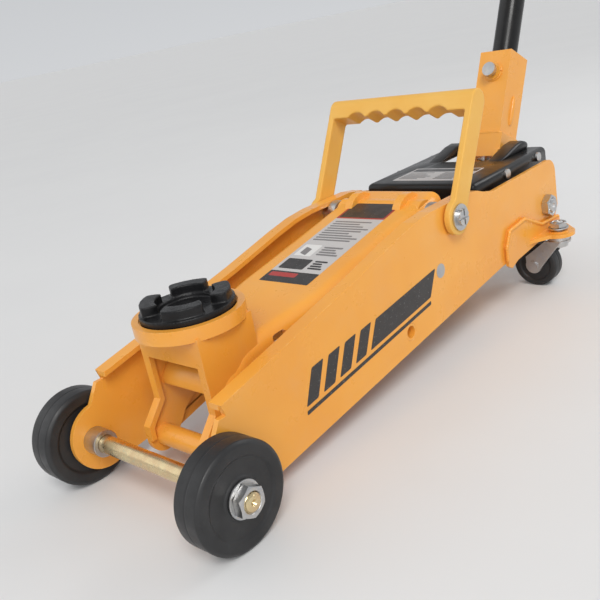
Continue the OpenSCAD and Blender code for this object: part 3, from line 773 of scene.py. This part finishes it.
def saddle():
    dress(melted("saddle_cup", "saddle", 0.7 * MM, 5), "dark_steel", "saddle", "saddle")


# ---- Springs ----

def helix(start, end, radius, turns):
    """Points of a helix about the line from start to end, which lies along X."""
    steps = int(turns * 14)
    made = []
    for i in range(steps + 1):
        a = 2 * math.pi * turns * i / steps
        turn = Vector((0, math.cos(a) * radius, math.sin(a) * radius))
        made.append(start.lerp(end, i / steps) + turn)
    return made


def rounded(points, passes=3):
    """Cuts the corners of an open line."""
    for _ in range(passes):
        made = [points[0]]
        for a, b in zip(points, points[1:]):
            made += [a.lerp(b, 0.25), a.lerp(b, 0.75)]
        points = made + [points[-1]]
    return points


def springs():
    """The two return coils and the pump's coil, in place of the CAD's solids."""
    stud = middle("spring_studs")
    for side, way in (("left", 1), ("right", -1)):
        return_spring(side, way, stud)
    low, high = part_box("pump_spring")
    centre, wire = (low + high) / 2, 0.8 * MM
    fixed, pushed = Vector((high.x, centre.y, centre.z)), Vector((low.x, centre.y, centre.z))
    bm = bmesh.new()
    tube_along(bm, helix(pushed, fixed, (high.y - low.y) / 2 - wire, 6), wire, 7)
    spring(bm, "pump_coil", "pump_spring")


def return_spring(side, way, stud):
    """A coil with an eye round its stud at the rear and an arm to the ram yoke in front.

    The coil runs further in than the CAD's solid, so that it clears the radius rods.
    """
    wire, radius = 0.75 * MM, 1.9 * MM
    coil_y, eye_y, yoke_y = 31.6 * MM, 46.5 * MM, 11.2 * MM
    eye_r = 3.4 * MM
    low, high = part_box("return_spring_" + side)
    z = (low.z + high.z) / 2
    y = way * coil_y
    first, last = Vector((low.x + 9 * MM, y, z)), Vector((high.x - 12 * MM, y, z))
    coil = helix(first, last, radius, int((last.x - first.x) / (2.15 * wire)))
    eye = []
    for i in range(9):
        a = math.radians(-70 + 250 * i / 8)
        eye.append(Vector((
            stud.x - eye_r * math.sin(a), way * (eye_y + eye_r * math.cos(a)), z - 2.5 * MM
        )))
    rear = rounded(eye + [Vector((low.x + 5 * MM, way * 36 * MM, z)), coil[0]], 2)
    hook_x = last.x + 4 * MM
    front = rounded([
        coil[-1], last + Vector((2.5 * MM, way * radius, 0)), last + Vector((4 * MM, 0, 0)),
        Vector((hook_x, way * 22 * MM, z)), Vector((hook_x, way * yoke_y, z)),
    ])
    bm = bmesh.new()
    tube_along(bm, rear[:-1] + coil + front[1:], wire, 7)
    spring(bm, "return_coil_" + side, "return_spring_" + side)


def spring(bm, name, node):
    """Gives a coil its zinc material and smooth shading, hides the CAD node it stands for and bakes its place into
    its mesh.
    """
    piece = smooth(new_object(name, bm), 60)
    piece.data.materials.append(MATERIALS["zinc"])
    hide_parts(node)
    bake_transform(piece)


# ---- Cover, handles ----

def cover():
    """The sheet tray with its slot for the handle, and the lips beside the slot."""
    low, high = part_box("unit_cover")
    top = low.z + COVER_RISE
    slot_x = low.x + 54 * MM
    slot_half = 25 * MM
    bm = bmesh.new()
    corners = [Vector((x, y, z)) for z in (low.z, top) for x, y in (
        (low.x, low.y), (high.x, low.y), (high.x, high.y), (low.x, high.y))]
    v = [bm.verts.new(c) for c in corners]
    for ends in ((4, 5, 6, 7), (0, 1, 5, 4), (1, 2, 6, 5), (2, 3, 7, 6)):
        bm.faces.new([v[i] for i in ends])
    bm.edges.ensure_lookup_table()
    keep = [e for e in bm.edges if len(e.link_faces) == 2]
    bmesh.ops.bevel(bm, geom=keep, offset=5 * MM, segments=5, profile=0.5, affect="EDGES")
    piece = thickened(new_object("cover_tray", bm), 1.5 * MM)

    def slot(cutter):
        outline = [(low.x - 0.05, -slot_half), (slot_x, -slot_half), (slot_x, slot_half),
                   (low.x - 0.05, slot_half)]
        outline = fillet(outline, [0, 6 * MM, 6 * MM, 0])
        prism(cutter, [Vector((p.x, p.y, top - 0.02)) for p in outline], Vector((0, 0, 0.05)))
    cut(piece, slot)
    rimmed(piece, 0.4 * MM, 2, 50)
    dress(smooth(piece, 40), "black_paint", "chassis", "unit_cover")
    bm = bmesh.new()
    lip = [(slot_x + 6 * MM, top - 1 * MM), (low.x, top - 1 * MM), (low.x, high.z - 3 * MM),
           (low.x + 10 * MM, high.z), (low.x + 22 * MM, high.z - 1 * MM)]
    lip_width = 18 * MM
    for way in (1, -1):
        outline = [Vector((x, way * slot_half, z)) for x, z in lip]
        prism(bm, outline, Vector((0, way * lip_width, 0)))
    piece = rimmed(new_object("cover_lips", bm), 3.5 * MM, 4, 40)
    dress(smooth(piece, 50), "black_paint", "chassis")


def on_handle(x, y, z):
    """A point in the handle's own axes: origin at the socket's pivot, +Z along the tube."""
    front = Vector((0, 1, 0)).cross(UP_HANDLE)
    return HUB + front * x + Vector((0, y, 0)) + UP_HANDLE * z


def socket_details():
    """The welds round the socket's foot and the clamp screw's boss, and a rib on each side."""
    foot_half, foot_z = 17.8 * MM, 70.3 * MM
    boss_x, boss_z, boss_r = 17.8 * MM, 134 * MM, 9.4 * MM
    rib_y, rib_r, rib_steps = 17.6 * MM, 3.2 * MM, 14
    bm = bmesh.new()
    foot = [on_handle(x * foot_half, y * foot_half, foot_z) for x, y in (
        (1, -1), (1, 1), (-1, 1), (-1, -1), (1, -1))]
    bead(bm, foot, 1.7 * MM)
    boss = []
    for i in range(33):
        a = 2 * math.pi * i / 32
        boss.append(on_handle(boss_x, boss_r * math.cos(a), boss_z + boss_r * math.sin(a)))
    bead(bm, boss, 1.2 * MM)
    for way in (1, -1):
        low, high = (on_handle(0, way * rib_y, z * MM) for z in (82, 112))
        line, radii = [], []
        for i in range(rib_steps + 1):
            swell = math.sin(math.pi * (i + 0.35) / (rib_steps + 0.7)) ** 0.4
            line.append(low.lerp(high, i / rib_steps))
            radii.append(rib_r * swell)
        tube_along(bm, line, radii, 16)
    dress(smooth(new_object("socket_welds", bm), 60), "yellow_paint", "handle_socket")


def carry_handle():
    dress(melted("carry_bail", "carry_handle", 0.9 * MM, 6), "yellow_plastic", "carry_handle",
          "carry_handle")


def hand_grip():
    """Rubber sleeve with rings, a flared foot and a domed end."""
    tip = HUB + UP_HANDLE * HANDLE_LENGTH
    length, outer, bore = 124 * MM, 16 * MM, 12.75 * MM
    valley, crest = outer - 1.6 * MM, outer - 0.5 * MM
    rings, pitch = 22, 4.6 * MM
    outline = [(bore, -length), (outer - 0.2 * MM, -length), (outer, -length + 2 * MM),
               (outer, -length + 7 * MM), (valley, -length + 9 * MM)]
    for i in range(rings):
        start = -length + 10 * MM + i * pitch
        outline += [(valley, start), (crest, start + 0.9 * MM), (crest, start + 2.8 * MM),
                    (valley, start + 3.7 * MM)]
    outline += [(outer - 1.4 * MM, -10 * MM), (outer, -8 * MM), (outer, -3 * MM),
                (outer - 3 * MM, 0), (3 * MM, 0), (2.4 * MM, -1.2 * MM), (CORE, -1.2 * MM),
                (CORE, -3 * MM), (bore, -3 * MM)]
    bm = bmesh.new()
    lathe(bm, fillet(outline, 0.8 * MM, 3), tip, UP_HANDLE, 72)
    dress(smooth(new_object("rubber_sleeve", bm), 50), "grip_rubber", "handle", "hand_grip")


# ---- Stickers, stripes and welds ----

INK_BLACK = (0.02, 0.018, 0.018)
INK_RED = (0.42, 0.03, 0.025)
INK_PALE = (0.55, 0.53, 0.52)
INK_GREY = (0.20, 0.19, 0.19)
INK_WHITE = (0.75, 0.74, 0.72)


def sticker(name, place_on, patches, body):
    """A thin sheet of coloured patches. place_on turns (along, across, above) into a point.

    Each patch is (x0, x1, y0, y1, lean of the far side, colour), and lies over those before it.
    """
    bm = bmesh.new()
    shades = []
    for level, (x0, x1, y0, y1, lean, shade) in enumerate(patches):
        above = (0.10 + 0.015 * level) * MM
        below = (0.02 + 0.001 * level) * MM
        outline = fillet([(x0, y0), (x1, y0), (x1 + lean, y1), (x0 + lean, y1)],
                         min(1.2 * MM, abs(y1 - y0) * 0.3), 3)
        before = len(bm.faces)
        flat = [place_on(p.x, p.y, below) for p in outline]
        rise = place_on(x0, y0, above) - place_on(x0, y0, below)
        prism(bm, flat, rise)
        shades += [shade] * (len(bm.faces) - before)
    piece = new_object(name, bm)
    colours = piece.data.attributes.new(INK, "FLOAT_COLOR", "CORNER")
    for face, shade in zip(piece.data.polygons, shades):
        for corner in face.loop_indices:
            colours.data[corner].color = (*shade, 1)
    piece.data.materials.append(PRINT)
    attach(piece, body)


def bars(x0, x1, y0, y1, count, fill, shade):
    """Rows of plain bars that stand for printed lines, each a little shorter or longer."""
    made = []
    pitch = (x1 - x0) / count
    for i in range(count):
        short = (0.10, 0.32, 0.18, 0.0)[i % 4] * (y1 - y0)
        made.append((x0 + i * pitch, x0 + (i + fill) * pitch, y0, y1 - short, 0, shade))
    return made


def arm_label():
    """From the pivot to the saddle: a red-edged panel, lines, picture boxes and a dark heading."""
    half, margin = 26 * MM, 4 * MM
    left, right = -half + margin, half - margin
    front, panel, header, rear = 138 * MM, 122 * MM, 33 * MM, -3 * MM
    patches = [
        (rear, front, -half, half, 0, INK_PALE),
        (panel, front, -half, half, 0, INK_BLACK),
        (panel + 2 * MM, panel + 8 * MM, -half + 3 * MM, half - 20 * MM, 0, INK_RED),
        (rear, header, -half, half, 0, INK_RED),
        (rear + 2 * MM, header - 2 * MM, -half + 2 * MM, half - 2 * MM, 0, INK_BLACK),
        (rear + 6 * MM, rear + 7.5 * MM, -half + 5 * MM, half - 5 * MM, 0, INK_WHITE),
    ]
    patches += bars(38 * MM, 74 * MM, left, right, 9, 0.45, INK_GREY)
    patches += [(80 * MM, 98 * MM, left, -4 * MM, 0, INK_WHITE)]
    patches += bars(82 * MM, 97 * MM, 0, right, 4, 0.5, INK_GREY)
    patches += [
        (84 * MM, 94 * MM, -half + 8 * MM, -10 * MM, 3 * MM, INK_GREY),
        (103 * MM, 118 * MM, left, half - 22 * MM, 0, INK_BLACK),
    ]
    patches += bars(104 * MM, 118 * MM, half - 18 * MM, right, 4, 0.5, INK_BLACK)
    sticker("arm_label", lambda x, y, z: on_arm(x, y, ARM_TOP + z), patches, "lift_arm")


def cover_label():
    low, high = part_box("unit_cover")
    origin = Vector((high.x - 14 * MM, 0, low.z + COVER_RISE))
    patches = [
        (-44 * MM, 0, -38 * MM, 38 * MM, 0, INK_PALE),
        (-42 * MM, -32 * MM, -36 * MM, 36 * MM, 0, INK_BLACK),
    ]
    lines_rear, lines_front = -29 * MM, -4 * MM
    patches += bars(lines_rear, lines_front, -35 * MM, -4 * MM, 6, 0.5, INK_GREY)
    patches += bars(lines_rear, lines_front, 4 * MM, 35 * MM, 6, 0.5, INK_GREY)
    sticker("cover_label", lambda x, y, z: origin + Vector((x, y, z)), patches, "chassis")


def side_stripes():
    """Plain slanted stripes that follow the plate's lower edge, and a thin line below them."""
    rise = math.radians(6.5)
    lengths, gap = (13, 13, 13, 13, 84), 6          # in mm
    lean = 9 * MM
    for way, name in ((1, "left"), (-1, "right")):
        origin = Vector((AXLE.x - 88 * MM, way * PLATE_Y, 46 * MM))

        def on_plate(x, y, z, origin=origin, way=way):
            return origin + Vector((
                -x * math.cos(rise) - y * math.sin(rise), way * z,
                x * math.sin(rise) + y * math.cos(rise),
            ))
        patches = []
        start = 0.0
        for length in lengths:
            height = (24 - start * 0.052) * MM
            patches.append((start * MM, (start + length) * MM, 0, height, lean, INK_BLACK))
            start += length + gap
        patches.append((0, (start - gap) * MM, -6 * MM, -3 * MM, 0, INK_BLACK))
        sticker("side_stripes_" + name, on_plate, patches, "chassis")


def bead(bm, points, radius):
    """A weld along an open line, with a ripple about every 2 mm."""
    step, pitch = 0.5 * MM, 2.2 * MM
    fine, radii = [], []
    for a, b in zip(points, points[1:]):
        steps = max(2, int((b - a).length / step))
        for i in range(steps):
            fine.append(a.lerp(b, i / steps))
    travelled = 0.0
    for i, p in enumerate(fine):
        travelled += (p - fine[i - 1]).length if i else 0
        ripple = abs(math.sin(math.pi * travelled / pitch))
        wander = noise.noise(p * 180)
        radii.append(radius * (0.82 + 0.2 * ripple + 0.12 * wander))
    tube_along(bm, fine, radii, 8)


def frame_welds():
    """Beads round the castor brackets, the tie tube's ends and the cradle's edges."""
    bm = bmesh.new()
    # In mm, behind the front axle and over the floor.
    bracket_edge = [(475, 61.5), (470, 62.5), (440, 64), (408, 79.5), (378, 77.5), (370, 63.5),
                    (370, 50)]
    for way in (1, -1):
        outside = way * (PLATE_Y + 2.6 * MM)
        edge = [Vector((AXLE.x - x * MM, outside, z * MM)) for x, z in bracket_edge]
        bead(bm, edge, 1.9 * MM)
    centre = middle("tie_tube")
    tube_r = 7.6 * MM
    for way in (1, -1):
        inside = way * (PLATE_Y - 4.6 * MM)
        seam = []
        for i in range(37):
            a = 2 * math.pi * i / 36
            seam.append(Vector((
                centre.x + math.cos(a) * tube_r, inside, centre.z + math.sin(a) * tube_r
            )))
        bead(bm, seam, 1.6 * MM)
    low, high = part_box("unit_cradle")
    rear, front = low.x + 4 * MM, high.x - 4 * MM
    for way in (1, -1):
        y = way * (high.y - 0.9 * MM)
        for z in (high.z - 0.3 * MM, low.z + 0.2 * MM):
            bead(bm, [Vector((x, y, z)) for x in (rear, front)], 1.5 * MM)
    dress(smooth(new_object("frame_welds", bm), 60), "yellow_paint", "chassis")


def saddle_welds():
    """Beads under the bracket's collar, along its two cheeks and its front wall."""
    bm = bmesh.new()
    seam_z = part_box("saddle_bracket")[1].z - 10.2 * MM
    cheek_y, wall_x = 34.4 * MM, 24.4 * MM
    for way in (1, -1):
        ends = [Vector((HEAD.x + x * MM, way * cheek_y, seam_z)) for x in (-18, 16)]
        bead(bm, ends, 1.6 * MM)
    ends = [Vector((HEAD.x + wall_x, y * MM, seam_z)) for y in (-27, 27)]
    bead(bm, ends, 1.6 * MM)
    dress(smooth(new_object("saddle_welds", bm), 60), "yellow_paint", "saddle_bracket")


# ---- Stage ----

SKY_LOW, SKY_HIGH = 0.66, 0.44       # the sky's strength at the horizon and overhead
LAMP_AIM = Vector((0.1, 0, 0.08))
LAMPS = (                            # kind, name, place, size, power, tint
    ("SUN", "key", (1.4, 1.7, 2.6), 0.42, 1.45, (1, 0.985, 0.96)),
    ("SUN", "fill", (1.2, -2.0, 1.6), 0.9, 0.35, (1, 1, 1)),
    ("AREA", "front", (1.5, 1.0, 0.9), 0.9, 5, (1, 1, 1)),
    ("AREA", "back", (-1.2, 0.7, 1.1), 0.8, 5, (1, 1, 1)),
)
AXLE_FLOOR = Vector((AXLE.x, 0, 0))
CAMERA_AZIMUTH = 45.9                # from +X towards +Y
CAMERA_ELEVATION = 19.7
CAMERA_ROLL = -11.4
CAMERA_PLACE = Vector((0.236, 0.418, 0.294))
SENSOR = 36
CAMERA_LENS = SENSOR * 284.7 / 220   # the fitted focal length over the picture's width, in pixels


def floor():
    """A wide pale floor, 80 m across."""
    bm = bmesh.new()
    bmesh.ops.create_grid(bm, x_segments=8, y_segments=8, size=40)
    piece = new_object("floor", bm)
    s = Shader("pale_floor", Roughness=0.55)
    clouds = s.levels(s.noise(0.4, 4), 0.35, 0.65)
    colour = s.mix(clouds, (0.755, 0.755, 0.755), (0.77, 0.77, 0.768))
    piece.data.materials.append(s.finish(colour, s.levels(s.noise(0.05, 4), 0.3, 0.7, 0.5, 0.62)))


def lamp(kind, name, at, size, power, tint):
    """A disk lamp of a diameter in metres, or a sun of a width in radians."""
    data = bpy.data.lights.new(name, kind)
    if kind == "SUN":
        data.angle = size
    else:
        data.shape = "DISK"
        data.size = size
    data.energy = power
    data.color = tint
    made = added(name, data)
    made.location = at
    made.rotation_mode = "QUATERNION"
    made.rotation_quaternion = (Vector(at) - LAMP_AIM).to_track_quat("Z", "Y")


def studio():
    """A pale sky that is darker overhead, and the lamps."""
    world = bpy.data.worlds.new("studio")
    world.use_nodes = True
    tree = world.node_tree
    sky = tree.nodes["Background"]
    sky.inputs["Color"].default_value = (0.95, 0.97, 1.0, 1)
    way = tree.nodes.new("ShaderNodeTexCoord")
    split = tree.nodes.new("ShaderNodeSeparateXYZ")
    tree.links.new(way.outputs["Generated"], split.inputs["Vector"])
    fade = tree.nodes.new("ShaderNodeMapRange")
    fade.inputs["From Min"].default_value = 0.0
    fade.inputs["From Max"].default_value = 0.5
    fade.inputs["To Min"].default_value = SKY_LOW
    fade.inputs["To Max"].default_value = SKY_HIGH
    tree.links.new(split.outputs["Z"], fade.inputs["Value"])
    tree.links.new(fade.outputs["Result"], sky.inputs["Strength"])
    bpy.context.scene.world = world
    for row in LAMPS:
        lamp(*row)
    bpy.context.scene.view_settings.view_transform = "Standard"


def camera():
    data = bpy.data.cameras.new("camera")
    data.sensor_width = SENSOR
    data.lens = CAMERA_LENS
    data.clip_start, data.clip_end = 0.02, 50
    roll = math.radians(CAMERA_ROLL)
    azimuth, elevation = math.radians(CAMERA_AZIMUTH), math.radians(CAMERA_ELEVATION)
    back = Vector((
        math.cos(azimuth) * math.cos(elevation), math.sin(azimuth) * math.cos(elevation),
        math.sin(elevation),
    ))
    turn = back.to_track_quat("Z", "Y").to_matrix() @ Matrix.Rotation(roll, 3, "Z")
    made = added("camera", data)
    made.matrix_world = Matrix.Translation(AXLE_FLOOR + CAMERA_PLACE) @ turn.to_4x4()
    bpy.context.scene.camera = made


carry_over()
wheels()
front_axle()
pivot_nuts()
king_bolts()
lift_arm()
saddle()
springs()
cover()
socket_details()
carry_handle()
hand_grip()
arm_label()
cover_label()
side_stripes()
frame_welds()
saddle_welds()
floor()
studio()
camera()
